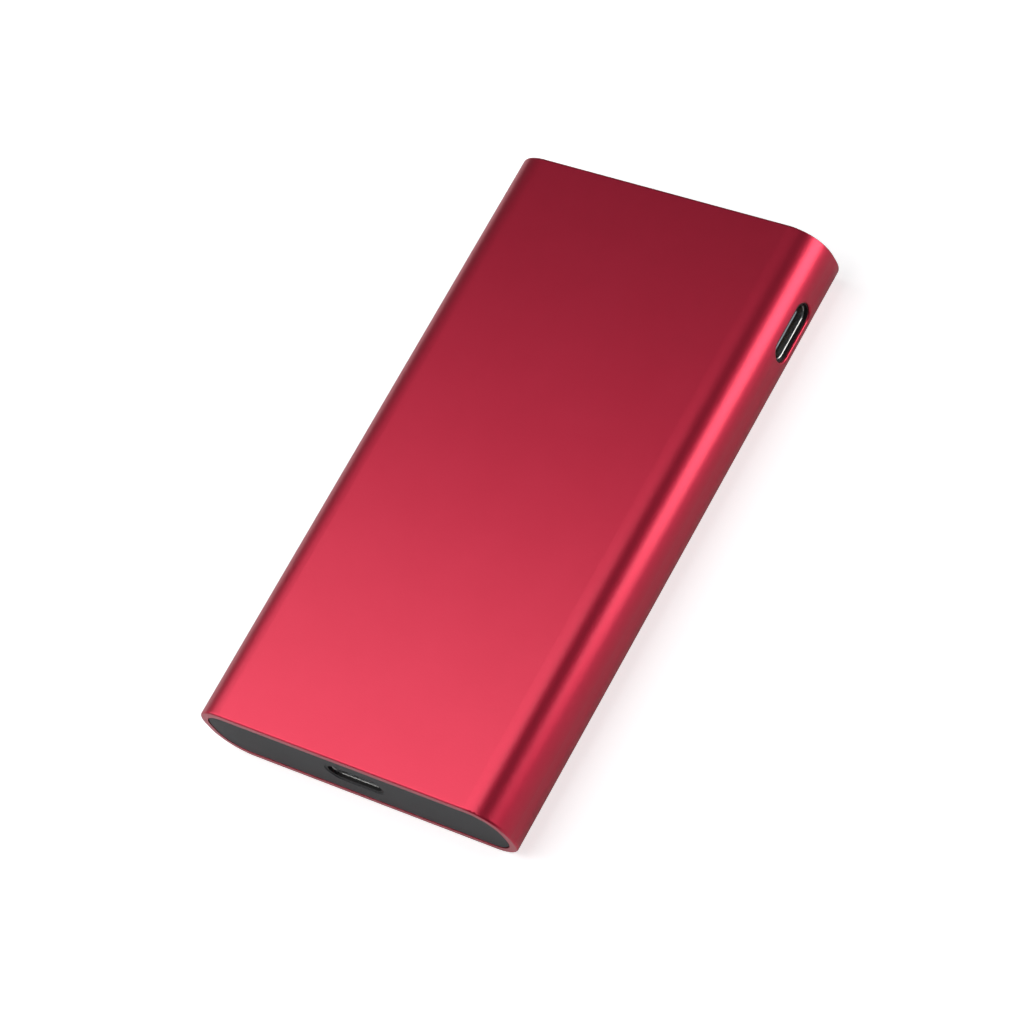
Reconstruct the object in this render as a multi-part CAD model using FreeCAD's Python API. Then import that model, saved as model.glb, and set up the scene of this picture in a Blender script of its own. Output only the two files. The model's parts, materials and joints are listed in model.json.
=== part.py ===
import FreeCAD, Part
import os
from math import sqrt

# Slim digital audio player in an extruded aluminium sleeve. Millimetres.
# X is the width, Y the length (the USB end is at -Y), Z the thickness.
# The player lies on its cover glass; the origin is under its middle, on the table.

# ---------------------------------------------------------------- driving dimensions
WIDTH = 52.0
LENGTH = 93.0
THICKNESS = 12.2
CORNER_RADIUS = 5.3
WALL = 1.2
RIM_RADIUS = 0.3

PLATE_THICKNESS = 1.6
PLATE_RECESS = 0.06
PLATE_GAP = 0.1
PLATE_BEVEL = 0.08
GASKET_INSET = 0.2
GASKET_WIDTH = 0.8

GLASS_WIDTH = 38.8
GLASS_LENGTH = 84.0
GLASS_THICKNESS = 0.55
DISPLAY_WIDTH = 35.2
DISPLAY_LENGTH = 72.0

BATTERY_WIDTH = 42.0
BATTERY_LENGTH = 48.0
BATTERY_THICKNESS = 6.0

# USB-C receptacle, standard size, and its two openings
SIDE_USB_HOLE = (9.2, 3.6)
END_USB_HOLE = (9.5, 4.2)
USB_SHELL = (8.84, 3.06)
USB_SHELL_WALL = 0.25
USB_LENGTH = 7.3
USB_TONGUE = (6.69, 0.7)
USB_TONGUE_RECESS = 0.6
SIDE_USB_FROM_TOP = 12.57
SIDE_USB_RECESS = 0.8
SIDE_USB_ROUNDING = 0.28
USB_LEAD_IN = 0.07
END_USB_RECESS = 0.6
END_USB_BEVEL = 0.15
COLLAR_FIT = 0.02
COLLAR_LAP = 0.35
COLLAR_FLANGE_THICKNESS = 0.5

# 3.5 mm headphone jack, standard size
JACK_BORE_RADIUS = 1.78
JACK_X = -13.0

CARD_X = 9.5
CARD_SHELL = (14.0, 1.8, 15.0)
CARD_OPENING = (11.6, 1.2)

KEY_TRAVEL = 0.2
KEY_PROUD = 0.2
KEY_GAP = 0.1
KEY_EDGE_RADIUS = 0.12

# ---------------------------------------------------------------- derived dimensions
MID_Z = THICKNESS / 2
END_Y = LENGTH / 2
SIDE_X = WIDTH / 2
CAVITY_WIDTH = WIDTH - 2 * WALL
CAVITY_HEIGHT = THICKNESS - 2 * WALL
CAVITY_RADIUS = CORNER_RADIUS - WALL

PLATE_OUTER_Y = END_Y - PLATE_RECESS
PLATE_INNER_Y = PLATE_OUTER_Y - PLATE_THICKNESS
PLATE_WIDTH = CAVITY_WIDTH - 2 * PLATE_GAP
PLATE_HEIGHT = CAVITY_HEIGHT - 2 * PLATE_GAP
PLATE_RADIUS = CAVITY_RADIUS - PLATE_GAP

GLASS_RADIUS = 3.0
GLASS_GAP = 0.1
ADHESIVE_THICKNESS = 0.15
LEDGE_Z = GLASS_THICKNESS + ADHESIVE_THICKNESS
LEDGE_WIDTH = 1.6
WINDOW_WIDTH = GLASS_WIDTH - 2 * LEDGE_WIDTH
WINDOW_LENGTH = GLASS_LENGTH - 4 * LEDGE_WIDTH
WINDOW_RADIUS = GLASS_RADIUS - LEDGE_WIDTH
DISPLAY_TOP = 2.0
SHIELD_SHEET = 0.2

CHASSIS_GAP = 0.15
CHASSIS_END_Y = PLATE_INNER_Y - 0.24
CHASSIS_FLOOR_Z = 2.5
CHASSIS_DECK_Z = 3.1
CHASSIS_RAIL_Z = 9.2
SOCKET_NOTCH_Z = 4.0
BULKHEAD = 1.6
POCKET_END_Y = CHASSIS_END_Y - BULKHEAD
POCKET_LEFT_X = -20.6
POCKET_RIGHT_X = 22.3
KEY_STRIP_X = -21.1
KEY_STRIP_SHEET = 0.4
KEY_STRIP_START_Y = -15.5
KEY_STRIP_END_Y = 42.2

BOARD_THICKNESS = 1.0
SIDE_USB_Y = END_Y - SIDE_USB_FROM_TOP
SIDE_USB_Z = MID_Z + 0.1
BOARD_TOP = SIDE_USB_Z - USB_SHELL[1] / 2
BOARD_BOTTOM = BOARD_TOP - BOARD_THICKNESS
BOARD_LEFT_X = POCKET_LEFT_X + 0.3
BOARD_RIGHT_X = POCKET_RIGHT_X - 0.3
BOARD_START_Y = 15.6
BOARD_END_Y = POCKET_END_Y - 0.2

END_USB_Z = MID_Z + 0.6
USB_BOARD_THICKNESS = 0.8
USB_BOARD_TOP = END_USB_Z - USB_SHELL[1] / 2
USB_BOARD_BOTTOM = USB_BOARD_TOP - USB_BOARD_THICKNESS
USB_BOARD_HALF_WIDTH = 14.0
USB_BOARD_START_Y = -POCKET_END_Y + 0.2
USB_BOARD_END_Y = -35.6

SCREW_RADIUS = 0.7
SCREW_HEAD_RADIUS = 1.3
SCREW_HEAD_HEIGHT = 0.6
SCREW_FIT = 0.02
DRIVE_RADIUS = 0.55
DRIVE_SLOT = 0.28
BOARD_SCREWS = ((-18.4, 41.0), (-18.4, 24.6), (20.3, 41.0), (20.3, 17.4))
USB_BOARD_SCREWS = ((-11.0, -40.5), (11.0, -40.5))
TOP_SCREW_X = 21.2

CAN_CENTRE = (-3.5, 22.4)
CAN_SIZE = (20.0, 9.6)
CAN_HEIGHT = 2.2
CAN_SHEET = 0.2
# name: (x, y, (width, length), height) on the main board
CHIPS = {
    "processor_chip": (-7.0, 22.4, (9.0, 8.0), 1.2),
    "memory_chip": (2.0, 22.4, (7.0, 8.0), 1.0),
    "converter_chip": (-4.5, 35.0, (5.0, 5.0), 0.9),
    "antenna_chip": (-3.5, 41.2, (7.0, 2.0), 1.0),
    "battery_connector": (-17.0, 20.0, (5.0, 3.0), 1.4),
}

BATTERY_PAD = 0.4
BATTERY_START_Y = -34.5
BATTERY_END_Y = BATTERY_START_Y + BATTERY_LENGTH
BATTERY_LEFT_X = POCKET_LEFT_X + 0.2
BATTERY_RIGHT_X = BATTERY_LEFT_X + BATTERY_WIDTH
BATTERY_BOTTOM = CHASSIS_DECK_Z + BATTERY_PAD
BATTERY_TOP = BATTERY_BOTTOM + BATTERY_THICKNESS

CELL_BOARD = 0.8
LEAD_RADIUS = 0.4
LEAD_SPACING = 2.0

JACK_NOSE_RADIUS = 2.5
JACK_RING_RADIUS = 3.4
JACK_RING_THICKNESS = 0.55
JACK_BODY_WIDTH = 6.6
JACK_BODY_HEIGHT = 5.2
JACK_BACK_Y = 31.0

KEY_HEIGHT = 2.6
KEY_FLANGE_X = -SIDE_X + WALL + 0.35
KEY_FLANGE_THICKNESS = 0.55
KEY_FLANGE_HEIGHT = 3.4
SWITCH_HEIGHT = 1.0
SWITCH_TOP_X = KEY_STRIP_X - KEY_STRIP_SHEET - SWITCH_HEIGHT
KEYS = {
    "power_key": (37.5, 6.0),
    "volume_up_key": (27.4, 8.0),
    "volume_down_key": (17.6, 8.0),
    "previous_key": (6.0, 7.0),
    "play_key": (-2.5, 7.0),
    "next_key": (-11.0, 7.0),
}


# ---------------------------------------------------------------- helpers
def block(x0, x1, y0, y1, z0, z1):
    """A box between two values on each axis."""
    return Part.makeBox(x1 - x0, y1 - y0, z1 - z0, FreeCAD.Vector(x0, y0, z0))


def rod(axis, start, end, centre, radius):
    """A cylinder along an axis; centre is its place on the two other axes, in X, Y, Z order."""
    direction = {"x": (1, 0, 0), "y": (0, 1, 0), "z": (0, 0, 1)}[axis]
    base = on_axis(axis, start, centre[0], centre[1])
    return Part.makeCylinder(radius, end - start, base, FreeCAD.Vector(*direction))


def on_axis(axis, along, u, v):
    """The point at a distance along an axis, with u and v on the two other axes."""
    if axis == "x":
        return FreeCAD.Vector(along, u, v)
    if axis == "y":
        return FreeCAD.Vector(u, along, v)
    return FreeCAD.Vector(u, v, along)


def rounded_bar(axis, start, end, centre, size, radius):
    """A bar along an axis with a rounded rectangle as its section."""
    half_u = size[0] / 2
    half_v = size[1] / 2
    radius = min(radius, half_u, half_v)
    inset = radius * (1 - sqrt(0.5))
    corners = []
    for sign_u, sign_v in ((1, -1), (1, 1), (-1, 1), (-1, -1)):
        on_u_side = (sign_u * half_u, sign_v * (half_v - radius))
        on_v_side = (sign_u * (half_u - radius), sign_v * half_v)
        middle = (sign_u * (half_u - inset), sign_v * (half_v - inset))
        corner = [on_u_side, middle, on_v_side]
        if sign_u * sign_v < 0:
            corner.reverse()
        corners.append(corner)
    edges = []
    for index, corner in enumerate(corners):
        first, middle, last = [
            on_axis(axis, start, centre[0] + u, centre[1] + v) for u, v in corner
        ]
        edges.append(Part.Arc(first, middle, last).toShape())
        u, v = corners[(index + 1) % 4][0]
        following = on_axis(axis, start, centre[0] + u, centre[1] + v)
        if last.distanceToPoint(following) > 1e-6:
            edges.append(Part.makeLine(last, following))
    face = Part.Face(Part.Wire(edges))
    return face.extrude(on_axis(axis, end - start, 0, 0))


def edges_in_plane(shape, axis_name, value):
    """The edges of a shape that lie in one plane square to an axis."""
    found = []
    for edge in shape.Edges:
        low = getattr(edge.BoundBox, axis_name + "Min")
        high = getattr(edge.BoundBox, axis_name + "Max")
        if abs(low - value) < 0.01 and abs(high - value) < 0.01:
            found.append(edge)
    return found


def ribbon(path, x0, x1, sheet):
    """A folded flat ribbon; path lists the (y, z) corners of its middle line."""
    half = sheet / 2
    pieces = []
    for (y0, z0), (y1, z1) in zip(path, path[1:]):
        pieces.append(
            block(
                x0,
                x1,
                min(y0, y1) - half,
                max(y0, y1) + half,
                min(z0, z1) - half,
                max(z0, z1) + half,
            )
        )
    return fused(pieces)


def fused(pieces):
    """One solid made of several touching ones."""
    whole = pieces[0]
    for piece in pieces[1:]:
        whole = whole.fuse(piece)
    return whole.removeSplitter()


def save(name, shape):
    """Write one named piece of the player."""
    shape.exportStep("parts/" + name + ".step")


# ---------------------------------------------------------------- housing
def sleeve_outside(margin):
    """The sleeve's outer form over its whole length, made smaller all round by a margin."""
    size = (WIDTH - 2 * margin, THICKNESS - 2 * margin)
    return rounded_bar("y", -END_Y, END_Y, (0, MID_Z), size, CORNER_RADIUS - margin)


def sleeve_inside(margin, end_y=END_Y):
    """The sleeve's cavity between -end_y and end_y, made smaller all round by a margin."""
    size = (CAVITY_WIDTH - 2 * margin, CAVITY_HEIGHT - 2 * margin)
    return rounded_bar("y", -end_y, end_y, (0, MID_Z), size, CAVITY_RADIUS - margin)


def sleeve():
    shape = sleeve_outside(0)
    rims = edges_in_plane(shape, "Y", END_Y) + edges_in_plane(shape, "Y", -END_Y)
    shape = shape.makeFillet(RIM_RADIUS, rims)
    shape = shape.cut(sleeve_inside(0, END_Y + 1))
    rebate = (GLASS_WIDTH + 2 * GLASS_GAP, GLASS_LENGTH + 2 * GLASS_GAP)
    shape = shape.cut(
        rounded_bar("z", -1, LEDGE_Z, (0, 0), rebate, GLASS_RADIUS + GLASS_GAP)
    )
    window = (WINDOW_WIDTH, WINDOW_LENGTH)
    shape = shape.cut(rounded_bar("z", 0, WALL + 1, (0, 0), window, WINDOW_RADIUS))
    shape = with_side_usb_opening(shape)
    for y, length in KEYS.values():
        size = (length + 2 * KEY_GAP, KEY_HEIGHT + 2 * KEY_GAP)
        shape = shape.cut(
            rounded_bar(
                "x", -SIDE_X - 1, -SIDE_X + 2 * WALL, (y, MID_Z), size, KEY_HEIGHT / 2
            )
        )
    return shape


def with_side_usb_opening(shape):
    """The sleeve with the socket opening in its long side, rounded at the mouth."""
    centre = (SIDE_USB_Y, SIDE_USB_Z)
    radius = SIDE_USB_HOLE[1] / 2
    start_x = CAVITY_WIDTH / 2 - 1
    shape = shape.cut(rounded_bar("x", start_x, SIDE_X + 1, centre, SIDE_USB_HOLE, radius))
    half_y = SIDE_USB_HOLE[0] / 2 + 0.01
    half_z = radius + 0.01
    mouth = [
        edge
        for edge in shape.Edges
        if edge.CenterOfMass.x > CAVITY_WIDTH / 2 + WALL / 2
        and abs(edge.CenterOfMass.y - SIDE_USB_Y) < half_y
        and abs(edge.CenterOfMass.z - SIDE_USB_Z) < half_z
    ]
    return shape.makeFillet(SIDE_USB_ROUNDING, mouth)


def end_plate_blank(side):
    """An end plate without openings; side is 1 at the top end and -1 at the USB end."""
    low, high = sorted((side * PLATE_INNER_Y, side * PLATE_OUTER_Y))
    shape = rounded_bar(
        "y", low, high, (0, MID_Z), (PLATE_WIDTH, PLATE_HEIGHT), PLATE_RADIUS
    )
    return shape.makeChamfer(
        PLATE_BEVEL, edges_in_plane(shape, "Y", side * PLATE_OUTER_Y)
    )


def bottom_end_plate():
    hole = rounded_bar(
        "y",
        -END_Y - 1,
        -PLATE_INNER_Y + 1,
        (0, END_USB_Z),
        END_USB_HOLE,
        END_USB_HOLE[1] / 2,
    )
    shape = end_plate_blank(-1).cut(hole)
    half_width = END_USB_HOLE[0] / 2 + END_USB_BEVEL
    mouth = [
        edge
        for edge in edges_in_plane(shape, "Y", -PLATE_OUTER_Y)
        if edge.BoundBox.XMin > -half_width and edge.BoundBox.XMax < half_width
        and abs(edge.BoundBox.Center.z - END_USB_Z) < END_USB_HOLE[1]
    ]
    return shape.makeChamfer(END_USB_BEVEL, mouth)


def card_slot_hole(start, end, margin):
    """The opening that a memory card passes through."""
    size = (CARD_OPENING[0] + 2 * margin, CARD_OPENING[1] + 2 * margin)
    centre = (CARD_X, BOARD_TOP + CARD_SHELL[1] / 2)
    return rounded_bar("y", start, end, centre, size, 0.3)


def top_end_plate():
    shape = end_plate_blank(1)
    centre = (JACK_X, MID_Z)
    ring_y = PLATE_OUTER_Y - JACK_RING_THICKNESS
    shape = shape.cut(
        rod("y", PLATE_INNER_Y - 1, END_Y + 1, centre, JACK_NOSE_RADIUS + 0.1)
    )
    shape = shape.cut(rod("y", ring_y, END_Y + 1, centre, JACK_RING_RADIUS + 0.05))
    shape = shape.cut(card_slot_hole(PLATE_INNER_Y - 1, END_Y + 1, 0))
    for x in (-TOP_SCREW_X, TOP_SCREW_X):
        shape = shape.cut(
            rod("y", PLATE_INNER_Y - 1, END_Y + 1, (x, MID_Z), SCREW_RADIUS + 0.1)
        )
        shape = shape.cut(screw_head_cone(x, 0.02))
    return shape


def screw_head_cone(x, margin):
    """The tapered head of a top plate screw, or its seat with a margin all round."""
    head_y = PLATE_OUTER_Y - 0.1
    base = FreeCAD.Vector(x, head_y - SCREW_HEAD_HEIGHT, MID_Z)
    axis = FreeCAD.Vector(0, 1, 0)
    cone = Part.makeCone(
        SCREW_RADIUS + margin,
        SCREW_HEAD_RADIUS + margin,
        SCREW_HEAD_HEIGHT,
        base,
        axis,
    )
    if margin == 0:
        return cone
    return cone.fuse(
        rod("y", head_y, END_Y + 1, (x, MID_Z), SCREW_HEAD_RADIUS + margin)
    )


def top_plate_screws():
    """The two countersunk screws of the top end plate, with a cross drive."""
    slot = DRIVE_SLOT / 2
    screws = []
    for x in (-TOP_SCREW_X, TOP_SCREW_X):
        shank = rod(
            "y", POCKET_END_Y + 0.1, PLATE_OUTER_Y - 0.3, (x, MID_Z), SCREW_RADIUS
        )
        drive = rod("y", PLATE_OUTER_Y - 0.5, END_Y, (x, MID_Z), DRIVE_RADIUS)
        slots = drive.common(
            block(x - slot, x + slot, 0, END_Y, 0, THICKNESS).fuse(
                block(x - 2, x + 2, 0, END_Y, MID_Z - slot, MID_Z + slot)
            )
        )
        screws.append(screw_head_cone(x, 0).fuse(shank).removeSplitter().cut(slots))
    return Part.makeCompound(screws)


def plate_gasket(side):
    """The adhesive ring between an end plate and the chassis."""
    gasket_bore = GASKET_INSET + GASKET_WIDTH
    low, high = sorted((side * CHASSIS_END_Y, side * PLATE_INNER_Y))
    outer = rounded_bar(
        "y",
        low,
        high,
        (0, MID_Z),
        (PLATE_WIDTH - 2 * GASKET_INSET, PLATE_HEIGHT - 2 * GASKET_INSET),
        PLATE_RADIUS - GASKET_INSET,
    )
    inner = rounded_bar(
        "y",
        low - 1,
        high + 1,
        (0, MID_Z),
        (PLATE_WIDTH - 2 * gasket_bore, PLATE_HEIGHT - 2 * gasket_bore),
        PLATE_RADIUS - gasket_bore,
    )
    return outer.cut(inner)


# ---------------------------------------------------------------- display
def cover_glass():
    shape = rounded_bar(
        "z", 0, GLASS_THICKNESS, (0, 0), (GLASS_WIDTH, GLASS_LENGTH), GLASS_RADIUS
    )
    return shape.makeChamfer(0.12, edges_in_plane(shape, "Z", 0))


def display_adhesive():
    outer = (GLASS_WIDTH - 0.2, GLASS_LENGTH - 0.2)
    inner = (WINDOW_WIDTH + 0.2, WINDOW_LENGTH + 0.2)
    ring = rounded_bar(
        "z", GLASS_THICKNESS, LEDGE_Z, (0, 0), outer, GLASS_RADIUS - 0.1
    )
    return ring.cut(
        rounded_bar("z", 0, LEDGE_Z + 1, (0, 0), inner, WINDOW_RADIUS + 0.1)
    )


def display_panel():
    size = (DISPLAY_WIDTH, DISPLAY_LENGTH)
    return rounded_bar("z", GLASS_THICKNESS, DISPLAY_TOP, (0, 0), size, 0.5)


def display_back_shield():
    half_x = DISPLAY_WIDTH / 2 - 0.5
    half_y = DISPLAY_LENGTH / 2 - 0.5
    top = DISPLAY_TOP + SHIELD_SHEET
    return block(-half_x, half_x, -half_y, half_y, DISPLAY_TOP, top)


def display_flex():
    """The ribbon from the display's top edge, up through the chassis floor to the board."""
    start_y = DISPLAY_LENGTH / 2
    path = (
        (start_y + 0.075, 1.7),
        (start_y + 2.4, 1.7),
        (start_y + 2.4, 3.4),
        (start_y - 1.5, 3.4),
    )
    return ribbon(path, -5.0, 5.0, 0.15)


# ---------------------------------------------------------------- chassis
def chassis():
    """The tray that slides into the sleeve and carries everything else."""
    slab = block(-SIDE_X, SIDE_X, -END_Y, END_Y, CHASSIS_FLOOR_Z, CHASSIS_RAIL_Z)
    shape = sleeve_inside(CHASSIS_GAP, CHASSIS_END_Y).common(slab)
    shape = shape.cut(
        block(
            POCKET_LEFT_X,
            POCKET_RIGHT_X,
            -POCKET_END_Y,
            POCKET_END_Y,
            CHASSIS_DECK_Z,
            THICKNESS,
        )
    )
    shape = shape.cut(
        block(
            -SIDE_X,
            KEY_STRIP_X,
            KEY_STRIP_START_Y - 0.1,
            KEY_STRIP_END_Y + 0.1,
            CHASSIS_DECK_Z,
            THICKNESS,
        )
    )
    for hole in chassis_openings():
        shape = shape.cut(hole)
    for x, y in BOARD_SCREWS:
        shape = shape.fuse(
            rod("z", CHASSIS_DECK_Z - 0.1, BOARD_BOTTOM, (x, y), SCREW_HEAD_RADIUS)
        )
    for x, y in USB_BOARD_SCREWS:
        shape = shape.fuse(
            rod("z", CHASSIS_DECK_Z - 0.1, USB_BOARD_BOTTOM, (x, y), SCREW_HEAD_RADIUS)
        )
    for x, y in BOARD_SCREWS + USB_BOARD_SCREWS:
        shape = shape.cut(
            rod("z", CHASSIS_FLOOR_Z, USB_BOARD_TOP, (x, y), SCREW_RADIUS + SCREW_FIT)
        )
    return shape.removeSplitter()


def chassis_openings():
    """The notches and slots in the chassis for sockets, ribbon and end screws."""
    jack_side = JACK_BODY_WIDTH / 2 + 0.2
    usb_side = END_USB_HOLE[0] / 2 + COLLAR_LAP + CHASSIS_GAP
    holes = [
        block(-usb_side, usb_side, -END_Y, -POCKET_END_Y + 1, SOCKET_NOTCH_Z, THICKNESS),
        block(
            POCKET_RIGHT_X - 1,
            SIDE_X,
            SIDE_USB_Y - usb_side,
            SIDE_USB_Y + usb_side,
            SOCKET_NOTCH_Z,
            THICKNESS,
        ),
        block(
            JACK_X - jack_side,
            JACK_X + jack_side,
            POCKET_END_Y - 1,
            END_Y,
            CHASSIS_DECK_Z,
            THICKNESS,
        ),
        card_slot_hole(POCKET_END_Y - 1, END_Y, 0.3),
        block(
            -5.6,
            5.6,
            DISPLAY_LENGTH / 2 + 1.6,
            DISPLAY_LENGTH / 2 + 3.0,
            CHASSIS_FLOOR_Z - 1,
            CHASSIS_DECK_Z + 0.5,
        ),
    ]
    for x in (-TOP_SCREW_X, TOP_SCREW_X):
        holes.append(
            rod(
                "y",
                POCKET_END_Y - 0.5,
                END_Y,
                (x, MID_Z),
                SCREW_RADIUS + SCREW_FIT,
            )
        )
    return holes


# ---------------------------------------------------------------- boards
def main_board():
    shape = block(
        BOARD_LEFT_X,
        BOARD_RIGHT_X,
        BOARD_START_Y,
        BOARD_END_Y,
        BOARD_BOTTOM,
        BOARD_TOP,
    )
    jack_side = JACK_BODY_WIDTH / 2 + 0.15
    shape = shape.cut(
        block(
            JACK_X - jack_side,
            JACK_X + jack_side,
            JACK_BACK_Y - 0.15,
            END_Y,
            0,
            THICKNESS,
        )
    )
    for x, y in BOARD_SCREWS:
        shape = shape.cut(rod("z", 0, THICKNESS, (x, y), SCREW_RADIUS + 0.15))
    return shape


def usb_board():
    shape = block(
        -USB_BOARD_HALF_WIDTH,
        USB_BOARD_HALF_WIDTH,
        USB_BOARD_START_Y,
        USB_BOARD_END_Y,
        USB_BOARD_BOTTOM,
        USB_BOARD_TOP,
    )
    for x, y in USB_BOARD_SCREWS:
        shape = shape.cut(rod("z", 0, THICKNESS, (x, y), SCREW_RADIUS + 0.15))
    return shape


def pan_screws(places, seat_z):
    """Pan-head screws standing on a board, down into the chassis bosses."""
    screws = []
    for x, y in places:
        head = rod("z", seat_z, seat_z + SCREW_HEAD_HEIGHT, (x, y), SCREW_HEAD_RADIUS)
        head = head.makeChamfer(
            0.2, edges_in_plane(head, "Z", seat_z + SCREW_HEAD_HEIGHT)
        )
        shank = rod("z", CHASSIS_FLOOR_Z + 0.1, seat_z, (x, y), SCREW_RADIUS)
        socket = rod(
            "z", seat_z + SCREW_HEAD_HEIGHT / 2, seat_z + 2, (x, y), SCREW_RADIUS - 0.2
        )
        screws.append(head.fuse(shank).cut(socket))
    return Part.makeCompound(screws)


def usb_flex():
    """The ribbon from the USB board, over the battery, to the main board."""
    over_battery = BATTERY_TOP + 0.3
    start_y = USB_BOARD_END_Y - 1.5
    end_y = BOARD_START_Y + 1.4
    path = (
        (start_y, USB_BOARD_TOP + 0.1),
        (BATTERY_START_Y - 0.5, USB_BOARD_TOP + 0.1),
        (BATTERY_START_Y - 0.5, over_battery),
        (BATTERY_END_Y + 1.2, over_battery),
        (BATTERY_END_Y + 1.2, BOARD_TOP + 0.1),
        (end_y, BOARD_TOP + 0.1),
    )
    return ribbon(path, 14.0 - 5.5, 14.0 - 0.3, 0.2)


def chip(x, y, size, height):
    """A square-cornered chip on the main board."""
    return block(
        x - size[0] / 2,
        x + size[0] / 2,
        y - size[1] / 2,
        y + size[1] / 2,
        BOARD_TOP,
        BOARD_TOP + height,
    )


def shield_can():
    """The folded tin can over the processor and the memory."""
    outer_top = BOARD_TOP + CAN_HEIGHT
    inner_size = (CAN_SIZE[0] - 2 * CAN_SHEET, CAN_SIZE[1] - 2 * CAN_SHEET)
    outer = rounded_bar("z", BOARD_TOP, outer_top, CAN_CENTRE, CAN_SIZE, 0.6)
    inner = rounded_bar(
        "z", BOARD_TOP - 1, outer_top - CAN_SHEET, CAN_CENTRE, inner_size, 0.4
    )
    return outer.cut(inner)


def clock_crystals():
    crystals = []
    for y in (20.8, 24.6):
        crystals.append(
            rounded_bar(
                "z", BOARD_TOP, BOARD_TOP + 1.0, (11.5, y), (3.2, 2.5), 0.4
            )
        )
    return Part.makeCompound(crystals)


def amplifier_chips():
    return Part.makeCompound([chip(x, 30.0, (3.0, 3.0), 0.8) for x in (-7.0, -2.0)])


def audio_capacitors():
    """Standing aluminium cans beside the headphone jack."""
    cans = []
    for y in (30.0, 33.4, 36.8):
        can = rod("z", BOARD_TOP, BOARD_TOP + 3.6, (-18.5, y), 1.4)
        cans.append(can.makeFillet(0.25, edges_in_plane(can, "Z", BOARD_TOP + 3.6)))
    return Part.makeCompound(cans)


# ---------------------------------------------------------------- battery
def battery_cell():
    """A soft-edged pouch cell."""
    return rounded_bar(
        "y",
        BATTERY_START_Y,
        BATTERY_END_Y,
        (BATTERY_LEFT_X + BATTERY_WIDTH / 2, BATTERY_BOTTOM + BATTERY_THICKNESS / 2),
        (BATTERY_WIDTH, BATTERY_THICKNESS),
        1.6,
    )


def battery_pad():
    return block(
        BATTERY_LEFT_X + 3.0,
        BATTERY_RIGHT_X - 3.0,
        BATTERY_START_Y + 3.0,
        BATTERY_END_Y - 3.0,
        CHASSIS_DECK_Z,
        BATTERY_BOTTOM,
    )


def battery_protection_board():
    return block(
        BATTERY_LEFT_X + 1.0,
        3.0,
        BATTERY_END_Y,
        BATTERY_END_Y + CELL_BOARD,
        MID_Z - 1.7,
        MID_Z + 2.1,
    )


def battery_leads():
    """The two short wires from the protection board to the connector on the board."""
    x, y, (_, length), height = CHIPS["battery_connector"]
    wires = []
    for side in (-1, 1):
        centre = (x + side * LEAD_SPACING / 2, BOARD_TOP + height / 2)
        wires.append(
            rod("y", BATTERY_END_Y + CELL_BOARD, y - length / 2, centre, LEAD_RADIUS)
        )
    return Part.makeCompound(wires)


# ---------------------------------------------------------------- sockets
def usb_socket(axis, side, mouth, centre):
    """Shell, tongue and contacts of a USB-C socket whose mouth faces along side * axis."""
    back = mouth - side * USB_LENGTH

    def span(near, far):
        return sorted((mouth - side * near, mouth - side * far))

    low, high = sorted((back, mouth))
    inner = (USB_SHELL[0] - 2 * USB_SHELL_WALL, USB_SHELL[1] - 2 * USB_SHELL_WALL)
    shell = rounded_bar(axis, low, high, centre, USB_SHELL, USB_SHELL[1] / 2)
    hollow = rounded_bar(axis, low - 1, high + 1, centre, inner, inner[1] / 2)
    shell = shell.cut(hollow)
    shell = shell.makeChamfer(USB_LEAD_IN, inner_mouth_edges(shell, axis, mouth, centre))

    tongue_span = span(USB_TONGUE_RECESS, USB_LENGTH)
    tongue = rounded_bar(axis, *tongue_span, centre, USB_TONGUE, 0.1)
    root_span = span(5.4, USB_LENGTH)
    root_size = (inner[0] - 0.04, inner[1] - 0.04)
    root = rounded_bar(axis, *root_span, centre, root_size, root_size[1] / 2)
    tongue = tongue.fuse(root).removeSplitter()

    contacts = []
    contact_span = span(1.3, 5.4)
    for level in (-1, 1):
        for place in range(12):
            across = centre[0] + (place - 5.5) * 0.5
            height = centre[1] + level * (USB_TONGUE[1] / 2 + 0.05)
            contacts.append(
                rounded_bar(axis, *contact_span, (across, height), (0.28, 0.1), 0.02)
            )
    return shell, tongue, Part.makeCompound(contacts)


def inner_mouth_edges(shell, axis, mouth, centre):
    """The edges round the inside of a socket shell's mouth."""
    reach = USB_SHELL[1] / 2 - USB_SHELL_WALL / 2
    found = []
    for edge in edges_in_plane(shell, axis.upper(), mouth):
        if abs(edge.BoundBox.ZMax - centre[1]) < reach:
            if abs(edge.BoundBox.ZMin - centre[1]) < reach:
                found.append(edge)
    return found


def collar(axis, inner_wall, outer_wall, centre, hole):
    """Nose, flange and bore of the black ring that fills a hole round its socket shell."""
    side = 1 if outer_wall > inner_wall else -1
    back = inner_wall - side * COLLAR_FLANGE_THICKNESS
    nose_size = [size - 2 * COLLAR_FIT for size in hole]
    flange_size = [size + 2 * COLLAR_LAP for size in hole]
    bore_size = [size + 2 * COLLAR_FIT for size in USB_SHELL]
    nose_low, nose_high = sorted((back, outer_wall))
    flange_low, flange_high = sorted((back, inner_wall - side * COLLAR_FIT))
    nose = rounded_bar(axis, nose_low, nose_high, centre, nose_size, nose_size[1] / 2)
    flange = rounded_bar(
        axis, flange_low, flange_high, centre, flange_size, flange_size[1] / 2
    )
    bore = rounded_bar(
        axis, nose_low - 1, nose_high + 1, centre, bore_size, bore_size[1] / 2
    )
    return nose, flange, bore


def side_usb_collar():
    centre = (SIDE_USB_Y, SIDE_USB_Z)
    nose, flange, bore = collar("x", CAVITY_WIDTH / 2, SIDE_X, centre, SIDE_USB_HOLE)
    nose = nose.common(sleeve_outside(SIDE_USB_ROUNDING + COLLAR_FIT))
    return nose.fuse(flange.common(sleeve_inside(COLLAR_FIT))).removeSplitter().cut(bore)


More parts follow.
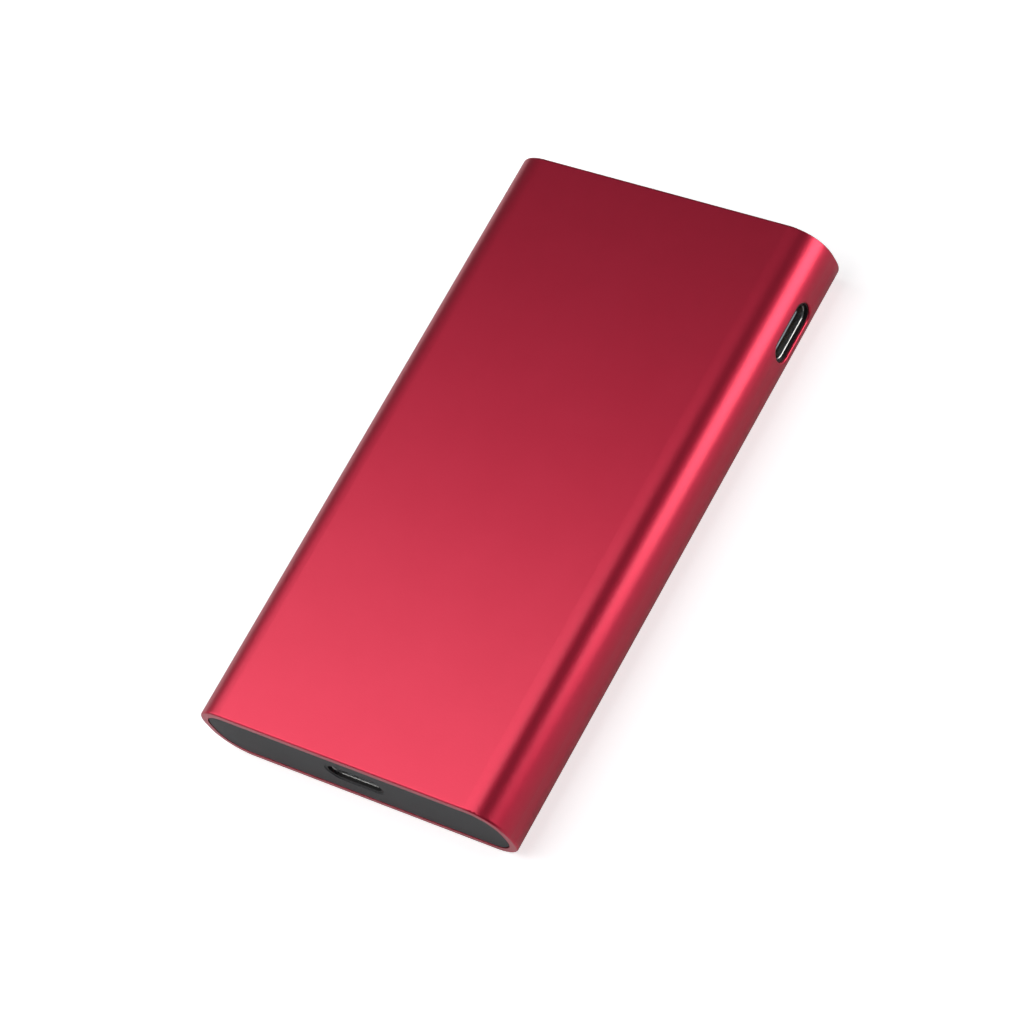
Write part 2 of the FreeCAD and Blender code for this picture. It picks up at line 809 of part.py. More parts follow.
def bottom_usb_collar():
    outer = -PLATE_OUTER_Y + END_USB_BEVEL
    nose, flange, bore = collar(
        "y", -PLATE_INNER_Y, outer, (0, END_USB_Z), END_USB_HOLE
    )
    return nose.fuse(flange).removeSplitter().cut(bore)


def headphone_jack():
    """The moulded body of the jack, with a round nose that reaches the end plate."""
    half_width = JACK_BODY_WIDTH / 2
    half_height = JACK_BODY_HEIGHT / 2
    body = block(
        JACK_X - half_width,
        JACK_X + half_width,
        JACK_BACK_Y,
        POCKET_END_Y,
        MID_Z - half_height,
        MID_Z + half_height,
    )
    nose = rod(
        "y",
        POCKET_END_Y - 1,
        PLATE_OUTER_Y - JACK_RING_THICKNESS,
        (JACK_X, MID_Z),
        JACK_NOSE_RADIUS,
    )
    body = body.fuse(nose).removeSplitter()
    bore = rod("y", JACK_BACK_Y + 1.0, END_Y, (JACK_X, MID_Z), JACK_BORE_RADIUS)
    body = body.cut(bore)
    for slot in jack_contact_blocks(0.02):
        body = body.cut(slot)
    return body


def jack_contact_blocks(margin):
    """Flat contact blades in the side walls of the jack, clear of its bore."""
    blades = []
    for side in (-1, 1):
        for y in (34.0, 38.5):
            inner = JACK_X + side * (JACK_BORE_RADIUS + 0.4 - margin)
            outer = JACK_X + side * (JACK_BODY_WIDTH / 2 + margin)
            low, high = sorted((inner, outer))
            blades.append(
                block(
                    low,
                    high,
                    y - 0.9 - margin,
                    y + 0.9 + margin,
                    MID_Z - 1.2 - margin,
                    MID_Z + 1.2 + margin,
                )
            )
    return blades


def headphone_contacts():
    return Part.makeCompound(jack_contact_blocks(0))


def headphone_ring():
    """The bright trim ring round the jack, set flush in the top end plate."""
    centre = (JACK_X, MID_Z)
    back_y = PLATE_OUTER_Y - JACK_RING_THICKNESS
    ring = rod("y", back_y, PLATE_OUTER_Y, centre, JACK_RING_RADIUS)
    ring = ring.cut(rod("y", back_y - 1, END_Y, centre, JACK_BORE_RADIUS + 0.2))
    return ring.makeChamfer(0.15, edges_in_plane(ring, "Y", PLATE_OUTER_Y))


def card_slot_shell():
    """The folded steel cover of the memory card slot."""
    width, height, length = CARD_SHELL
    front = POCKET_END_Y - 0.1
    x0 = CARD_X - width / 2
    x1 = CARD_X + width / 2
    outer = block(x0, x1, front - length, front, BOARD_TOP, BOARD_TOP + height)
    sheet = 0.2
    inner = block(
        x0 + sheet,
        x1 - sheet,
        front - length - 1,
        front + 1,
        BOARD_TOP - 1,
        BOARD_TOP + height - sheet,
    )
    return outer.cut(inner)


def card_slot_base():
    """The moulded floor of the card slot, with guides on both sides and a stop at the back."""
    width, height, length = CARD_SHELL
    front = POCKET_END_Y - 0.1
    x0 = CARD_X - width / 2 + 0.22
    x1 = CARD_X + width / 2 - 0.22
    top = BOARD_TOP + height - 0.22
    solid = block(x0, x1, front - length + 0.1, front - 0.1, BOARD_TOP, top)
    channel = block(
        CARD_X - 5.6,
        CARD_X + 5.6,
        front - length + 1.5,
        front + 1,
        BOARD_TOP + 0.35,
        top + 1,
    )
    return solid.cut(channel)


# ---------------------------------------------------------------- keys
def key_board():
    return block(
        KEY_STRIP_X - KEY_STRIP_SHEET,
        KEY_STRIP_X,
        KEY_STRIP_START_Y,
        KEY_STRIP_END_Y,
        CHASSIS_DECK_Z + 0.5,
        8.4,
    )


def key_switches():
    """One small dome switch behind each key."""
    switches = []
    face_x = KEY_STRIP_X - KEY_STRIP_SHEET
    for y, _ in KEYS.values():
        base = block(face_x - 0.7, face_x, y - 1.6, y + 1.6, MID_Z - 1.3, MID_Z + 1.3)
        plunger = rod("x", SWITCH_TOP_X, face_x - 0.6, (y, MID_Z), 0.7)
        switches.append(base.fuse(plunger))
    return Part.makeCompound(switches)


def key(y, length):
    """A key cap that follows the round of the sleeve, its inner flange and its pusher."""
    cap = rounded_bar(
        "x",
        -SIDE_X - 1,
        KEY_FLANGE_X,
        (y, MID_Z),
        (length, KEY_HEIGHT),
        KEY_HEIGHT / 2 - KEY_GAP,
    )
    raised_side = rounded_bar(
        "y",
        y - length,
        y + length,
        (0, MID_Z),
        (WIDTH + 2 * KEY_PROUD, THICKNESS + 2 * KEY_PROUD),
        CORNER_RADIUS + KEY_PROUD,
    )
    cap = cap.common(raised_side)
    outer_edges = [edge for edge in cap.Edges if edge.BoundBox.XMax < -SIDE_X + 0.6]
    cap = cap.makeFillet(KEY_EDGE_RADIUS, outer_edges)
    flange_inner_x = KEY_FLANGE_X + KEY_FLANGE_THICKNESS
    flange = rounded_bar(
        "x",
        KEY_FLANGE_X,
        flange_inner_x,
        (y, MID_Z),
        (length + 1.2, KEY_FLANGE_HEIGHT),
        0.8,
    )
    pusher_x = SWITCH_TOP_X - KEY_TRAVEL - 0.05
    pusher = rod("x", flange_inner_x, pusher_x, (y, MID_Z), 0.9)
    return fused([cap, flange, pusher])


# ---------------------------------------------------------------- all pieces
os.makedirs("parts", exist_ok=True)

save("sleeve", sleeve())
save("bottom_end_plate", bottom_end_plate())
save("top_end_plate", top_end_plate())
save("top_plate_screws", top_plate_screws())
save("bottom_plate_gasket", plate_gasket(-1))
save("top_plate_gasket", plate_gasket(1))
save("cover_glass", cover_glass())
save("display_adhesive", display_adhesive())
save("display_panel", display_panel())
save("display_back_shield", display_back_shield())
save("display_flex", display_flex())
save("chassis", chassis())
save("main_board", main_board())
save("board_screws", pan_screws(BOARD_SCREWS, BOARD_TOP))
save("usb_board", usb_board())
save("usb_board_screws", pan_screws(USB_BOARD_SCREWS, USB_BOARD_TOP))
save("usb_flex", usb_flex())
for chip_name, (chip_x, chip_y, chip_size, chip_height) in CHIPS.items():
    save(chip_name, chip(chip_x, chip_y, chip_size, chip_height))
save("amplifier_chips", amplifier_chips())
save("clock_crystals", clock_crystals())
save("audio_capacitors", audio_capacitors())
save("shield_can", shield_can())
save("battery_cell", battery_cell())
save("battery_pad", battery_pad())
save("battery_protection_board", battery_protection_board())
save("battery_leads", battery_leads())

side_parts = usb_socket("x", 1, SIDE_X - SIDE_USB_RECESS, (SIDE_USB_Y, SIDE_USB_Z))
for part_name, part_shape in zip(("shell", "tongue", "contacts"), side_parts):
    save("side_usb_" + part_name, part_shape)
save("side_usb_collar", side_usb_collar())
end_parts = usb_socket("y", -1, -PLATE_OUTER_Y + END_USB_RECESS, (0, END_USB_Z))
for part_name, part_shape in zip(("shell", "tongue", "contacts"), end_parts):
    save("bottom_usb_" + part_name, part_shape)
save("bottom_usb_collar", bottom_usb_collar())

save("headphone_jack", headphone_jack())
save("headphone_contacts", headphone_contacts())
save("headphone_ring", headphone_ring())
save("card_slot_shell", card_slot_shell())
save("card_slot_base", card_slot_base())
save("key_board", key_board())
save("key_switches", key_switches())
for key_name, (key_y, key_length) in KEYS.items():
    save(key_name, key(key_y, key_length))
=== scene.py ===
import json
import math

import bmesh
import bpy
from mathutils import Matrix, Vector


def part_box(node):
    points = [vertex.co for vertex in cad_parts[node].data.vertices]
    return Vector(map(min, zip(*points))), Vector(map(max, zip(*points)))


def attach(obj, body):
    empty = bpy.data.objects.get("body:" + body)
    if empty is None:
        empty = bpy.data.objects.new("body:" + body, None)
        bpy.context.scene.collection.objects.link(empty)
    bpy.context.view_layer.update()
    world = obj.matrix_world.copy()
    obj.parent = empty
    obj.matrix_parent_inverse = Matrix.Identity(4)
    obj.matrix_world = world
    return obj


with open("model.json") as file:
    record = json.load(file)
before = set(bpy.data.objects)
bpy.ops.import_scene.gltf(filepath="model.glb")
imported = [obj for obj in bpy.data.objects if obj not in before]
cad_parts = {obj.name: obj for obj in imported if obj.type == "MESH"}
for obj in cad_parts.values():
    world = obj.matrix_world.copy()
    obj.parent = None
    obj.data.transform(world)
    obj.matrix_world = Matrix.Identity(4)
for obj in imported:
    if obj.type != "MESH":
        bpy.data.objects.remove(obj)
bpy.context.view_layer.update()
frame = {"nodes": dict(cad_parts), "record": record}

# Looks of the slim audio player. Everything is in metres, in the frame of the CAD model:
# +X to the side with the socket opening, +Y to the headphone end, +Z up out of the back face.

MM = 0.001

SLEEVE_LOW, SLEEVE_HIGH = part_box("sleeve")
CENTRE = (SLEEVE_LOW + SLEEVE_HIGH) / 2

# symbols on the keys
SYMBOL_SIZE = 1.1 * MM
SYMBOL_STROKE = 0.18 * MM
SYMBOL_THICKNESS = 0.03 * MM
SYMBOL_PROUD = 0.004 * MM

# black printed border inside the edge of the display
DISPLAY_BORDER = 1.2 * MM

# soft lights: two corners and the radiance of each box
FACE_BOX_LOW = Vector((-1200, -330, 400)) * MM
FACE_BOX_HIGH = Vector((97, 108, 400)) * MM
FACE_BOX_RADIANCE = 1.8
SIDE_BOX_LOW = Vector((400, 112, 4)) * MM
SIDE_BOX_HIGH = Vector((400, 800, 280)) * MM
SIDE_BOX_RADIANCE = 3.5
END_BOX_PLACE = Vector((-490, -720, 280)) * MM
END_BOX_WIDTH = 250 * MM
END_BOX_HEIGHT = 160 * MM
END_BOX_RADIANCE = 2.0

# the floor and the studio round it
FLOOR_HALF_SIZE = 3.0
FLOOR_DROP = 0.02 * MM
# painted shade: the floor's camera-only glow is lower near the object, so the floor round it looks
# darker
FLOOR_GLOW_NEAR_PAINTED_SHADE = 0.66
FLOOR_GLOW_FAR = 1.0
FLOOR_FADE_START = 60 * MM
FLOOR_FADE_END = 250 * MM
STUDIO_WHITE = 1.05
STUDIO_LIGHT = 0.08

# camera, found from the outline of the object
CAMERA_AZIMUTH = 61.49
CAMERA_ELEVATION = 51.89
CAMERA_ROLL = -37.20
CAMERA_DISTANCE = 580.5 * MM
CAMERA_LENS = 150.04
CAMERA_AIM_RIGHT = -1.24 * MM
CAMERA_AIM_UP = -2.74 * MM


# ---------------------------------------------------------------- node helpers
class Paint:
    """A new node material with one Principled shader and short calls to wire it."""

    def __init__(self, name):
        self.material = bpy.data.materials.new(name)
        self.material.use_nodes = True
        self.nodes = self.material.node_tree.nodes
        self.links = self.material.node_tree.links
        self.shader = self.nodes["Principled BSDF"]
        self.coordinates = self.nodes.new("ShaderNodeTexCoord").outputs["Object"]

    def set(self, socket, value):
        """A plain number or colour on the shader's own socket."""
        self.shader.inputs[socket].default_value = value

    def wire(self, source, socket):
        self.links.new(source, self.shader.inputs[socket])

    def noise(self, size, detail=2.0, stretch=(1, 1, 1)):
        """Noise from 0 to 1 whose blotches are about size metres across."""
        mapping = self.nodes.new("ShaderNodeMapping")
        mapping.inputs["Scale"].default_value = stretch
        self.links.new(self.coordinates, mapping.inputs["Vector"])
        node = self.nodes.new("ShaderNodeTexNoise")
        node.inputs["Scale"].default_value = 1 / size
        node.inputs["Detail"].default_value = detail
        self.links.new(mapping.outputs["Vector"], node.inputs["Vector"])
        return node.outputs["Fac"]

    def cells(self, size, feature="F1"):
        """Distance in a cell pattern whose cells are about size metres across."""
        node = self.nodes.new("ShaderNodeTexVoronoi")
        node.feature = feature
        node.inputs["Scale"].default_value = 1 / size
        self.links.new(self.coordinates, node.inputs["Vector"])
        return node.outputs["Distance"]

    def spread(self, value, low, high, start=0.3, end=0.7):
        """A value stretched from start..end to low..high."""
        node = self.nodes.new("ShaderNodeMapRange")
        node.inputs["From Min"].default_value = start
        node.inputs["From Max"].default_value = end
        node.inputs["To Min"].default_value = low
        node.inputs["To Max"].default_value = high
        self.links.new(value, node.inputs["Value"])
        return node.outputs["Result"]

    def math(self, operation, first, second=0.0):
        node = self.nodes.new("ShaderNodeMath")
        node.operation = operation
        for socket, value in zip(node.inputs, (first, second)):
            if isinstance(value, (int, float)):
                socket.default_value = value
            else:
                self.links.new(value, socket)
        return node.outputs["Value"]

    def mix(self, factor, first, second):
        """A colour between two colours or colour outputs."""
        node = self.nodes.new("ShaderNodeMix")
        node.data_type = "RGBA"
        self.links.new(factor, node.inputs["Factor"])
        for socket, value in zip(colour_sockets(node), (first, second)):
            if isinstance(value, tuple):
                socket.default_value = (*value, 1.0)
            else:
                self.links.new(value, socket)
        return node.outputs[2]

    def axis(self, name):
        """One coordinate of the point on the surface, in metres."""
        node = self.nodes.new("ShaderNodeSeparateXYZ")
        self.links.new(self.coordinates, node.inputs["Vector"])
        return node.outputs[name]

    def bump(self, height, depth):
        """Relief of the given depth in metres."""
        node = self.nodes.new("ShaderNodeBump")
        node.inputs["Distance"].default_value = depth
        self.links.new(height, node.inputs["Height"])
        return node.outputs["Normal"]


def colour_sockets(node):
    """The two colour inputs of a Mix node."""
    return [s for s in node.inputs if s.type == "RGBA"]


# ---------------------------------------------------------------- materials
def anodised_red():
    """Bead-blasted, dyed aluminium under the clear oxide layer that seals the dye."""
    paint = Paint("anodised_red")
    grain = paint.noise(0.22 * MM, 3.0)
    mottle = paint.noise(9 * MM, 3.0)
    paint.wire(
        paint.mix(
            paint.spread(mottle, 0.0, 1.0), (0.705, 0.022, 0.067), (0.720, 0.024, 0.071)
        ),
        "Base Color",
    )
    paint.set("Metallic", 1.0)
    paint.wire(paint.spread(grain, 0.36, 0.40), "Roughness")
    paint.wire(paint.bump(grain, 0.010 * MM), "Normal")
    paint.set("Coat Weight", 0.75)
    paint.set("Coat Roughness", 0.27)
    paint.set("Coat IOR", 1.5)
    return paint.material


def moulded_plastic(name, colour, roughness, grain_size=0.12 * MM):
    """Fine spark-eroded plastic."""
    paint = Paint(name)
    grain = paint.noise(grain_size, 4.0)
    cloud = paint.noise(6 * MM, 3.0)
    darker = tuple(0.82 * c for c in colour)
    paint.wire(paint.mix(paint.spread(cloud, 0.0, 1.0), darker, colour), "Base Color")
    paint.wire(paint.spread(grain, roughness - 0.06, roughness + 0.06), "Roughness")
    paint.wire(paint.bump(grain, 0.012 * MM), "Normal")
    paint.set("Specular IOR Level", 0.5)
    return paint.material


def rolled_metal(name, colour, roughness, stretch=(1, 14, 1)):
    """Sheet metal with faint rolling lines along one axis."""
    paint = Paint(name)
    lines = paint.noise(0.35 * MM, 3.0, stretch)
    stains = paint.noise(2.5 * MM, 3.0)
    darker = tuple(0.8 * c for c in colour)
    paint.wire(paint.mix(paint.spread(stains, 0.0, 1.0), darker, colour), "Base Color")
    paint.wire(paint.spread(lines, roughness - 0.07, roughness + 0.09), "Roughness")
    paint.wire(paint.bump(lines, 0.004 * MM), "Normal")
    paint.set("Metallic", 1.0)
    return paint.material


def circuit_board(name, mask, track):
    """Solder mask over copper tracks, with a few bare pads."""
    paint = Paint(name)
    tracks = paint.cells(0.9 * MM, "DISTANCE_TO_EDGE")
    line = paint.spread(tracks, 1.0, 0.0, 0.05, 0.12)
    pads = paint.cells(1.7 * MM)
    pad = paint.spread(pads, 1.0, 0.0, 0.10, 0.14)
    colour = paint.mix(line, mask, track)
    paint.wire(paint.mix(pad, colour, (0.55, 0.42, 0.2)), "Base Color")
    paint.wire(paint.spread(paint.noise(1.2 * MM), 0.28, 0.45), "Roughness")
    paint.wire(paint.bump(line, 0.02 * MM), "Normal")
    return paint.material


def flexible_film():
    """Amber film with thin copper lines running along it."""
    paint = Paint("flexible_film")
    wave = paint.nodes.new("ShaderNodeTexWave")
    wave.bands_direction = "X"
    wave.inputs["Scale"].default_value = 1 / (3.2 * MM)
    wave.inputs["Distortion"].default_value = 0.0
    paint.links.new(paint.coordinates, wave.inputs["Vector"])
    line = paint.spread(wave.outputs["Fac"], 0.0, 1.0, 0.45, 0.55)
    paint.wire(paint.mix(line, (0.30, 0.12, 0.02), (0.50, 0.24, 0.06)), "Base Color")
    paint.wire(paint.spread(paint.noise(1.5 * MM), 0.25, 0.4), "Roughness")
    paint.wire(paint.bump(line, 0.015 * MM), "Normal")
    return paint.material


def chip_epoxy():
    """Moulded chip top with a fine laser-matte grain."""
    paint = Paint("chip_epoxy")
    grain = paint.noise(0.08 * MM, 4.0)
    cloud = paint.noise(1.5 * MM)
    paint.wire(
        paint.mix(cloud, (0.018, 0.018, 0.019), (0.035, 0.035, 0.037)), "Base Color"
    )
    paint.wire(paint.spread(grain, 0.45, 0.62), "Roughness")
    paint.wire(paint.bump(grain, 0.006 * MM), "Normal")
    return paint.material


def gold_plate():
    paint = Paint("gold_plate")
    worn = paint.noise(0.3 * MM, 4.0)
    paint.wire(
        paint.mix(paint.spread(worn, 0.0, 1.0), (0.78, 0.52, 0.20), (0.90, 0.68, 0.32)),
        "Base Color",
    )
    paint.wire(paint.spread(worn, 0.16, 0.32), "Roughness")
    paint.set("Metallic", 1.0)
    return paint.material


def pouch_foil():
    """Battery pouch with soft dents."""
    paint = Paint("pouch_foil")
    dents = paint.noise(4 * MM, 2.0)
    grain = paint.noise(0.4 * MM, 3.0)
    paint.wire(
        paint.mix(paint.spread(grain, 0.0, 1.0), (0.50, 0.51, 0.53), (0.62, 0.63, 0.65)),
        "Base Color",
    )
    paint.wire(paint.spread(grain, 0.30, 0.42), "Roughness")
    paint.set("Metallic", 0.85)
    paint.wire(paint.bump(dents, 0.10 * MM), "Normal")
    return paint.material


def soft_foam(name, colour):
    paint = Paint(name)
    pores = paint.cells(0.25 * MM)
    paint.wire(
        paint.mix(pores, tuple(1.6 * c for c in colour), colour), "Base Color"
    )
    paint.wire(paint.spread(pores, 0.75, 0.95, 0.0, 1.0), "Roughness")
    paint.wire(paint.bump(pores, 0.05 * MM), "Normal")
    return paint.material


def cover_glass():
    """Clear front glass with a black printed border round the display."""
    paint = Paint("cover_glass")
    low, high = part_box("display_panel")
    beyond_x = paint.math(
        "SUBTRACT", paint.math("ABSOLUTE", paint.axis("X")), high.x - DISPLAY_BORDER
    )
    beyond_y = paint.math(
        "SUBTRACT", paint.math("ABSOLUTE", paint.axis("Y")), high.y - 3 * DISPLAY_BORDER
    )
    beyond = paint.math("MAXIMUM", beyond_x, beyond_y)
    printed = paint.spread(beyond, 0.0, 1.0, 0.0, 0.05 * MM)
    paint.wire(
        paint.mix(printed, (0.018, 0.020, 0.026), (0.004, 0.004, 0.005)), "Base Color"
    )
    smears = paint.noise(7 * MM, 3.0, (1, 0.5, 1))
    paint.wire(paint.spread(smears, 0.03, 0.11), "Roughness")
    paint.set("IOR", 1.5)
    paint.set("Coat Weight", 1.0)
    paint.set("Coat Roughness", 0.03)
    return paint.material


def display_face():
    """Unlit display: a dark panel with its fine pixel grid."""
    paint = Paint("display_face")
    grid = paint.cells(0.2 * MM)
    paint.wire(paint.mix(grid, (0.010, 0.012, 0.018), (0.016, 0.018, 0.024)), "Base Color")
    paint.wire(paint.spread(paint.noise(3 * MM), 0.12, 0.2), "Roughness")
    return paint.material


def wire_insulation():
    paint = Paint("wire_insulation")
    skin = paint.noise(0.5 * MM, 3.0)
    paint.wire(paint.mix(skin, (0.30, 0.012, 0.012), (0.42, 0.02, 0.02)), "Base Color")
    paint.wire(paint.spread(skin, 0.35, 0.5), "Roughness")
    paint.wire(paint.bump(skin, 0.01 * MM), "Normal")
    return paint.material


def key_mark_paint():
    """Pale filled engraving on the keys."""
    paint = Paint("key_mark_paint")
    wear = paint.noise(0.2 * MM, 3.0)
    paint.wire(
        paint.mix(paint.spread(wear, 0.0, 1.0), (0.55, 0.42, 0.43), (0.80, 0.72, 0.72)),
        "Base Color",
    )
    paint.wire(paint.spread(wear, 0.4, 0.6), "Roughness")
    return paint.material


def floor_paint():
    """A pale floor, plain in colour, whose camera-only glow is dimmer near the object as a painted
    shade round it, and fades up to the white of the studio away from the object.
    """
    paint = Paint("floor_paint")
    paint.set("Base Color", (0.72, 0.72, 0.73, 1.0))
    paint.set("Roughness", 0.9)
    paint.set("Specular IOR Level", 0.0)
    distance = paint.nodes.new("ShaderNodeVectorMath")
    distance.operation = "LENGTH"
    paint.links.new(paint.coordinates, distance.inputs[0])
    # painted shade round the object: the camera-only glow stays low out to FLOOR_FADE_START and
    # only then rises to white
    glow_with_painted_shade = paint.spread(
        distance.outputs["Value"],
        FLOOR_GLOW_NEAR_PAINTED_SHADE,
        FLOOR_GLOW_FAR,
        FLOOR_FADE_START,
        FLOOR_FADE_END,
    )
    seen = paint.nodes.new("ShaderNodeLightPath").outputs["Is Camera Ray"]
    paint.set("Emission Color", (1.0, 1.0, 1.0, 1.0))
    paint.wire(paint.math("MULTIPLY", glow_with_painted_shade, seen), "Emission Strength")
    paint.wire(paint.bump(paint.noise(2 * MM), 0.02 * MM), "Normal")
    return paint.material


def slot_materials():
    """The material for each slot name of the record."""
    return {
        "red_anodised": anodised_red(),
        "charcoal_plastic": moulded_plastic("charcoal_plastic", (0.052, 0.053, 0.056), 0.52),
        "glass_black": cover_glass(),
        "display": display_face(),
        "sheet_steel": rolled_metal("sheet_steel", (0.62, 0.61, 0.59), 0.26),
        "bright_metal": rolled_metal("bright_metal", (0.55, 0.45, 0.34), 0.36),
        "screw_steel": rolled_metal("screw_steel", (0.25, 0.25, 0.26), 0.30),
        "chassis_metal": rolled_metal("chassis_metal", (0.48, 0.49, 0.50), 0.42),
        "board_black": circuit_board("circuit_board", (0.010, 0.035, 0.022), (0.018, 0.060, 0.038)),
        "flex_amber": flexible_film(),
        "chip_black": chip_epoxy(),
        "can_metal": rolled_metal("can_metal", (0.70, 0.70, 0.72), 0.24, (1, 1, 8)),
        "contact_gold": gold_plate(),
        "battery_foil": pouch_foil(),
        "adhesive_black": soft_foam("soft_foam", (0.014, 0.014, 0.015)),
        "black_plastic": moulded_plastic("black_plastic", (0.008, 0.007, 0.007), 0.45, 0.08 * MM),
        "pale_plastic": moulded_plastic("pale_plastic", (0.50, 0.56, 0.62), 0.40, 0.08 * MM),
        "lead_red": wire_insulation(),
    }


def paint_frame():
    """Puts each node's procedural material in its material slots."""
    materials = slot_materials()
    for subpart in frame["record"]["subparts"]:
        mesh = frame["nodes"][subpart["node"]].data
        for index in range(len(mesh.materials)):
            mesh.materials[index] = materials[subpart["material_slot"]]


# ---------------------------------------------------------------- key symbols
def flat_piece(name, outlines, thickness, material):
    """A thin plate made of closed outlines in the YZ plane, seen from the -X side."""
    shape = bmesh.new()
    for outline in outlines:
        front = [shape.verts.new((0, y, z)) for y, z in outline]
        face = shape.faces.new(front)
        extruded = bmesh.ops.extrude_face_region(shape, geom=[face])
        moved = [v for v in extruded["geom"] if isinstance(v, bmesh.types.BMVert)]
        bmesh.ops.translate(shape, verts=moved, vec=(thickness, 0, 0))
    bmesh.ops.recalc_face_normals(shape, faces=shape.faces)
    mesh = bpy.data.meshes.new(name)
    shape.to_mesh(mesh)
    shape.free()
    mesh.materials.append(material)
    piece = bpy.data.objects.new(name, mesh)
    bpy.context.scene.collection.objects.link(piece)
    return piece


def bar(y, z, width, height):
    """Outline of an upright rectangle round a centre."""
    w, h = width / 2, height / 2
    return [(y - w, z - h), (y + w, z - h), (y + w, z + h), (y - w, z + h)]


def arrow(y, size, side):
    """Outline of a triangle that points along side * Y."""
    half = size / 2
    return [(y - side * half, -half), (y + side * half, 0), (y - side * half, half)]


def arc_band(radius, width, start, end, steps=20):
    """Outline of part of a ring, between two angles in degrees."""
    outer = []
    inner = []
    for step in range(steps + 1):
        angle = math.radians(start + (end - start) * step / steps)
        outer.append((radius * math.cos(angle), radius * math.sin(angle)))
        inner.append(
            ((radius - width) * math.cos(angle), (radius - width) * math.sin(angle))
        )
    return outer + inner[::-1]


def key_symbols():
    """The outlines of each key's symbol, round the key's centre. Music runs towards -Y."""
    size = SYMBOL_SIZE
    stroke = SYMBOL_STROKE
    return {
        "power_key": [
            arc_band(size / 2, stroke, 120, 420),
            bar(0, size * 0.35, stroke, size * 0.5),
        ],
        "volume_up_key": [
            bar(0, 0, size, stroke),
            bar(0, size * 0.295, stroke, size * 0.41),
            bar(0, -size * 0.295, stroke, size * 0.41),
        ],
        "volume_down_key": [bar(0, 0, size, stroke)],
        "previous_key": [
            arrow(0, size * 0.8, 1),
            bar(size * 0.52, 0, stroke, size * 0.8),
        ],
        "play_key": [arrow(0, size, -1)],
        "next_key": [
            arrow(0, size * 0.8, -1),
            bar(-size * 0.52, 0, stroke, size * 0.8),
        ],
    }


def add_key_symbols():
    material = key_mark_paint()
    for key, outlines in key_symbols().items():
        low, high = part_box(key)
        middle = (low + high) / 2
        placed = [[(middle.y + y, middle.z + z) for y, z in o] for o in outlines]
        mark = flat_piece(key.replace("_key", "_mark"), placed, SYMBOL_THICKNESS, material)
        mark.location.x = low.x - SYMBOL_PROUD
        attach(mark, key)


# ---------------------------------------------------------------- studio
def add_floor():
    size = FLOOR_HALF_SIZE
    mesh = bpy.data.meshes.new("studio_floor")
    corners = [(-size, -size, 0), (size, -size, 0), (size, size, 0), (-size, size, 0)]
    mesh.from_pydata(corners, [], [(0, 1, 2, 3)])
    mesh.materials.append(floor_paint())
    floor = bpy.data.objects.new("studio_floor", mesh)
    floor.location.z = -FLOOR_DROP
    bpy.context.scene.collection.objects.link(floor)


def add_world():
    """White to the camera, a dim even grey as a light."""
    world = bpy.data.worlds.new("studio")
    world.use_nodes = True
    nodes = world.node_tree.nodes
    links = world.node_tree.links
    seen = nodes.new("ShaderNodeBackground")
    seen.inputs["Color"].default_value = (1, 1, 1, 1)
    seen.inputs["Strength"].default_value = STUDIO_WHITE
    lit = nodes["Background"]
    lit.inputs["Color"].default_value = (0.95, 0.97, 1.0, 1)
    lit.inputs["Strength"].default_value = STUDIO_LIGHT
    mix = nodes.new("ShaderNodeMixShader")
    camera_ray = nodes.new("ShaderNodeLightPath").outputs["Is Camera Ray"]
    links.new(camera_ray, mix.inputs["Fac"])
    links.new(lit.outputs["Background"], mix.inputs[1])
    links.new(seen.outputs["Background"], mix.inputs[2])
    links.new(mix.outputs["Shader"], nodes["World Output"].inputs["Surface"])
    bpy.context.scene.world = world


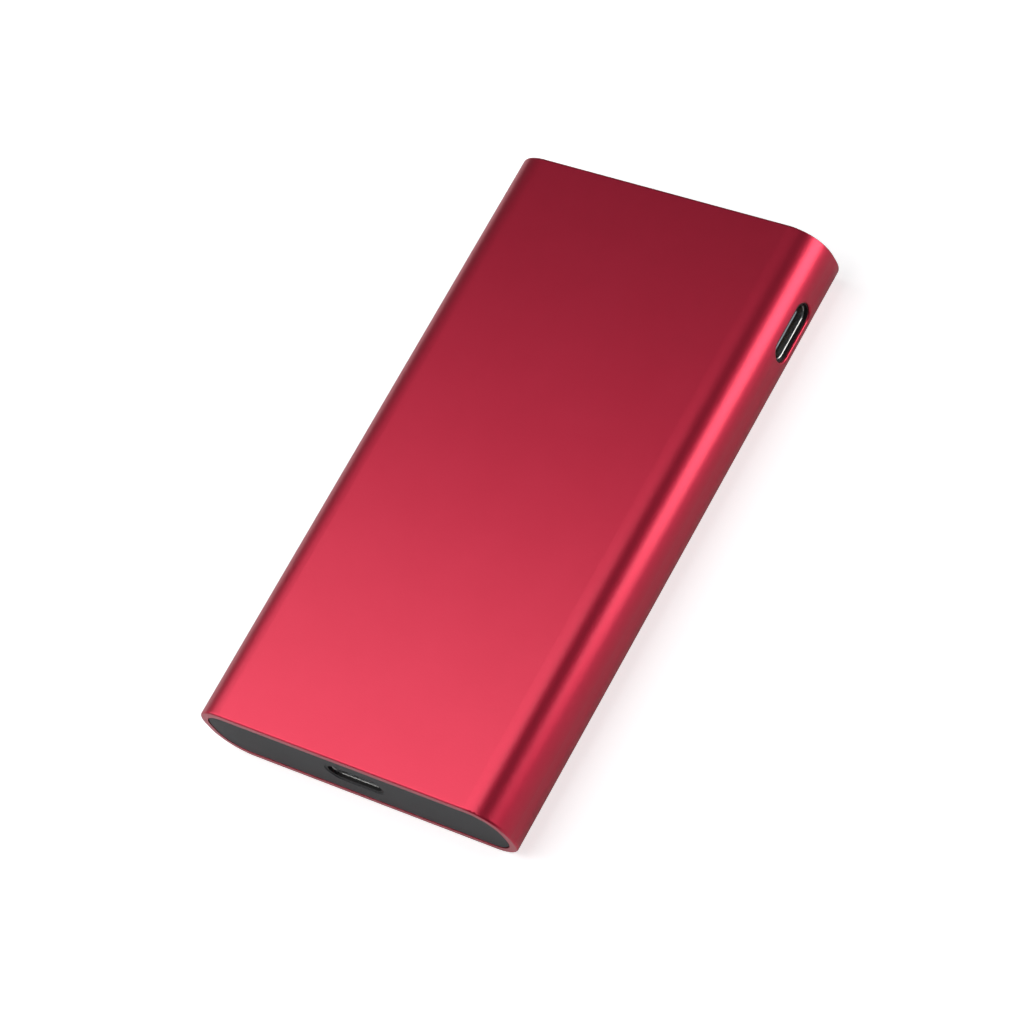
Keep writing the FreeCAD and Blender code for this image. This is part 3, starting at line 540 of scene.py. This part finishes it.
def add_softbox(name, place, facing, width, height, radiance):
    """A rectangular soft light; radiance is how bright its face looks."""
    light = bpy.data.lights.new(name, "AREA")
    light.shape = "RECTANGLE"
    light.size = width
    light.size_y = height
    light.energy = radiance * math.pi * width * height
    lamp = bpy.data.objects.new(name, light)
    lamp.location = place
    lamp.rotation_mode = "QUATERNION"
    lamp.rotation_quaternion = facing.to_track_quat("-Z", "Y")
    lamp.visible_camera = False
    bpy.context.scene.collection.objects.link(lamp)
    return lamp


def add_lights():
    """A wide box over the socket end for the face, and smaller ones low at the side and the end."""
    face_size = FACE_BOX_HIGH - FACE_BOX_LOW
    add_softbox(
        "face_box",
        (FACE_BOX_LOW + FACE_BOX_HIGH) / 2,
        Vector((0, 0, -1)),
        face_size.x,
        face_size.y,
        FACE_BOX_RADIANCE,
    )
    side_size = SIDE_BOX_HIGH - SIDE_BOX_LOW
    add_softbox(
        "side_box",
        (SIDE_BOX_LOW + SIDE_BOX_HIGH) / 2,
        Vector((-1, 0, 0)),
        side_size.y,
        side_size.z,
        SIDE_BOX_RADIANCE,
    )
    add_softbox(
        "end_box",
        END_BOX_PLACE,
        (CENTRE - END_BOX_PLACE).normalized(),
        END_BOX_WIDTH,
        END_BOX_HEIGHT,
        END_BOX_RADIANCE,
    )


def add_camera():
    azimuth = math.radians(CAMERA_AZIMUTH)
    elevation = math.radians(CAMERA_ELEVATION)
    roll = math.radians(CAMERA_ROLL)
    back = Vector(
        (
            math.sin(azimuth) * math.cos(elevation),
            -math.cos(azimuth) * math.cos(elevation),
            math.sin(elevation),
        )
    )
    level_right = Vector((math.cos(azimuth), math.sin(azimuth), 0))
    level_up = back.cross(level_right)
    right = level_right * math.cos(roll) + level_up * math.sin(roll)
    up = back.cross(right)
    aim = CENTRE + right * CAMERA_AIM_RIGHT + up * CAMERA_AIM_UP
    data = bpy.data.cameras.new("camera")
    data.lens = CAMERA_LENS
    data.sensor_width = 36.0
    camera = bpy.data.objects.new("camera", data)
    axes = Matrix((right, up, back)).transposed().to_4x4()
    camera.matrix_world = Matrix.Translation(aim + back * CAMERA_DISTANCE) @ axes
    bpy.context.scene.collection.objects.link(camera)
    bpy.context.scene.camera = camera


# ---------------------------------------------------------------- the scene
paint_frame()
add_key_symbols()
add_floor()
add_world()
add_lights()
add_camera()
bpy.context.scene.view_settings.view_transform = "Standard"
